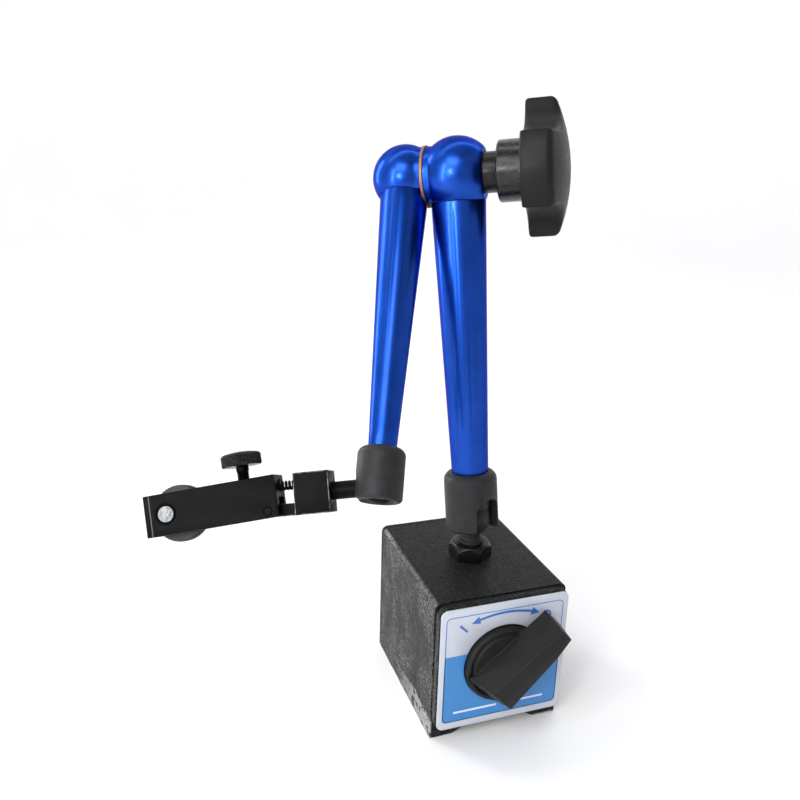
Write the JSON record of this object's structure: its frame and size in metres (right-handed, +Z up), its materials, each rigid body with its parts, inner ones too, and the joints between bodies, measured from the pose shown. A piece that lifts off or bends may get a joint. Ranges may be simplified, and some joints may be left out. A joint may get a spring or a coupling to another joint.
{
  "type": "magnetic gauge stand",
  "caption": "Switchable magnetic base carrying a two-link ball-jointed arm locked by one central star knob, ending in a fine-adjust clamp for a gauge stem.",
  "frame": {"origin": "middle of the V groove in the plane of the magnetic foot, half-way along the iron body", "axes": "+Z up from the foot, -Y towards the switch knob, +X to the right as seen from the switch side"},
  "size_m": [0.1491, 0.0825, 0.2182],
  "materials": {
    "black_paint": "black wrinkle paint, worn to grey at the edges",
    "zinc_screws": "zinc plated",
    "label": "printed aluminium plate, silver white above and blue below",
    "brass": "machined",
    "steel": "ground",
    "magnet": "sintered ferrite",
    "black_plastic": "moulded, fine grain",
    "black_oxide": "black oxide, satin",
    "blue_anodised": "blue anodised, satin gloss",
    "copper": "copper, turned"
  },
  "bodies": {
    "base": {"pole_left": "black_paint", "pole_right": "black_paint", "brass_spacer_upper": "brass", "brass_spacer_lower": "brass", "front_cover": "black_paint", "front_cover_screws": "zinc_screws", "back_cover": "black_paint", "back_cover_screws": "zinc_screws", "label_plate": "label", "stop_pin": "steel", "stud_nut": "black_oxide"},
    "switch": {"rotor_magnet": "magnet", "rotor_pole_segments": "steel", "rotor_spindle": "steel", "switch_knob": "black_plastic", "knob_grub_screw": "black_oxide"},
    "post_ball": {"ball_stud": "black_oxide"},
    "lower_arm": {"lower_socket": "black_oxide", "lower_arm_tube": "blue_anodised", "lower_elbow_head": "blue_anodised", "elbow_washer": "copper"},
    "lower_pusher": {"lower_push_rod": "steel", "lower_ball_seat": "steel"},
    "wedge": {"wedge_bush": "black_oxide"},
    "star": {"star_knob": "black_plastic", "knob_insert": "brass"},
    "draw": {"draw_bolt": "steel"},
    "upper_arm": {"upper_elbow_head": "blue_anodised", "upper_arm_tube": "blue_anodised", "upper_socket": "black_oxide"},
    "upper_pusher": {"upper_push_rod": "steel", "upper_ball_seat": "steel"},
    "rod_ball": {"ball_rod": "black_oxide"},
    "head": {"rear_block": "black_oxide", "preload_spring": "steel"},
    "fine_bar": {"clamp_bar": "black_oxide", "hinge_pin": "steel"},
    "thumb_stem": {"thumb_screw": "black_oxide"},
    "thumb_head": {"thumb_knob": "black_oxide"},
    "clamp_stem": {"clamp_screw": "steel"},
    "clamp_head": {"clamp_knob": "black_oxide"}
  },
  "joints": [
    {"name": "switch_turn", "type": "hinge", "parent": "base", "child": "switch", "pos_m": [0, 0, 0.03], "axis": [0, -1, 0], "range_deg": [0, 90]},
    {"name": "post_swivel", "type": "hinge", "parent": "base", "child": "post_ball", "pos_m": [0, -0.0015, 0.071], "axis": [0, 0, 1], "range_deg": [-180, 180]},
    {"name": "post_tilt", "type": "hinge", "parent": "post_ball", "child": "lower_arm", "pos_m": [0, -0.0015, 0.071], "axis": [0.9354, 0.3535, 0], "range_deg": [-14, 90]},
    {"name": "lower_push", "type": "slide", "parent": "lower_arm", "child": "lower_pusher", "axis": [-0.0467, 0.1237, 0.9912], "range_m": [0, 0.0003]},
    {"name": "wedge_slide", "type": "slide", "parent": "lower_arm", "child": "wedge", "axis": [0.8265, -0.5525, 0.1079], "range_m": [0, 0.000624]},
    {"name": "star_turn", "type": "hinge", "parent": "wedge", "child": "star", "pos_m": [-0.00573, 0.01367, 0.19252], "axis": [0.8265, -0.5525, 0.1079], "range_deg": [0, 360]},
    {"name": "bolt_draw", "type": "slide", "parent": "lower_arm", "child": "draw", "axis": [-0.8265, 0.5525, -0.1079], "range_m": [0, 0.00065]},
    {"name": "elbow_turn", "type": "hinge", "parent": "lower_arm", "child": "upper_arm", "pos_m": [-0.00573, 0.01367, 0.19252], "axis": [0.8265, -0.5525, 0.1079], "range_deg": [-150, 14]},
    {"name": "upper_push", "type": "slide", "parent": "upper_arm", "child": "upper_pusher", "axis": [0.2364, 0.5147, 0.8241], "range_m": [0, 0.0003]},
    {"name": "rod_tilt", "type": "hinge", "parent": "upper_arm", "child": "rod_ball", "pos_m": [-0.04618, -0.03182, 0.10173], "axis": [-0.3971, -0.7229, 0.5654], "range_deg": [-14, 88]},
    {"name": "rod_roll", "type": "hinge", "parent": "rod_ball", "child": "head", "pos_m": [-0.04618, -0.03182, 0.10173], "axis": [-0.9122, 0.3788, -0.1563], "range_deg": [-180, 180]},
    {"name": "fine_tilt", "type": "hinge", "parent": "head", "child": "fine_bar", "pos_m": [-0.07732, -0.02091, 0.09237], "axis": [0.4089, 0.8161, -0.4084], "range_deg": [-1.55, 5.2]},
    {"name": "thumb_feed", "type": "slide", "parent": "fine_bar", "child": "thumb_stem", "axis": [0.0413, -0.4636, -0.8851], "range_m": [-0.0003, 0.00075]},
    {"name": "thumb_turn", "type": "hinge", "parent": "thumb_stem", "child": "thumb_head", "pos_m": [-0.08452, -0.01616, 0.09463], "axis": [0.0413, -0.4636, -0.8851], "range_deg": [-110, 360]},
    {"name": "clamp_feed", "type": "slide", "parent": "fine_bar", "child": "clamp_stem", "axis": [0.4089, 0.8161, -0.4084], "range_m": [0, 0.000799]},
    {"name": "clamp_turn", "type": "hinge", "parent": "clamp_stem", "child": "clamp_head", "pos_m": [-0.10686, -0.00771, 0.08916], "axis": [0.4089, 0.8161, -0.4084], "range_deg": [0, 360]}
  ],
  "couplings": [
    {"joint": "star_turn", "follows": "wedge_slide", "rad_per_m": 10053},
    {"joint": "bolt_draw", "follows": "wedge_slide", "ratio": 1},
    {"joint": "lower_push", "follows": "wedge_slide", "ratio": 0.4182},
    {"joint": "upper_push", "follows": "wedge_slide", "ratio": 0.4142},
    {"joint": "thumb_turn", "follows": "fine_tilt", "ratio": 69.118},
    {"joint": "thumb_feed", "follows": "fine_tilt", "m_per_rad": 0.0077},
    {"joint": "clamp_turn", "follows": "clamp_feed", "rad_per_m": 7855.5}
  ]
}
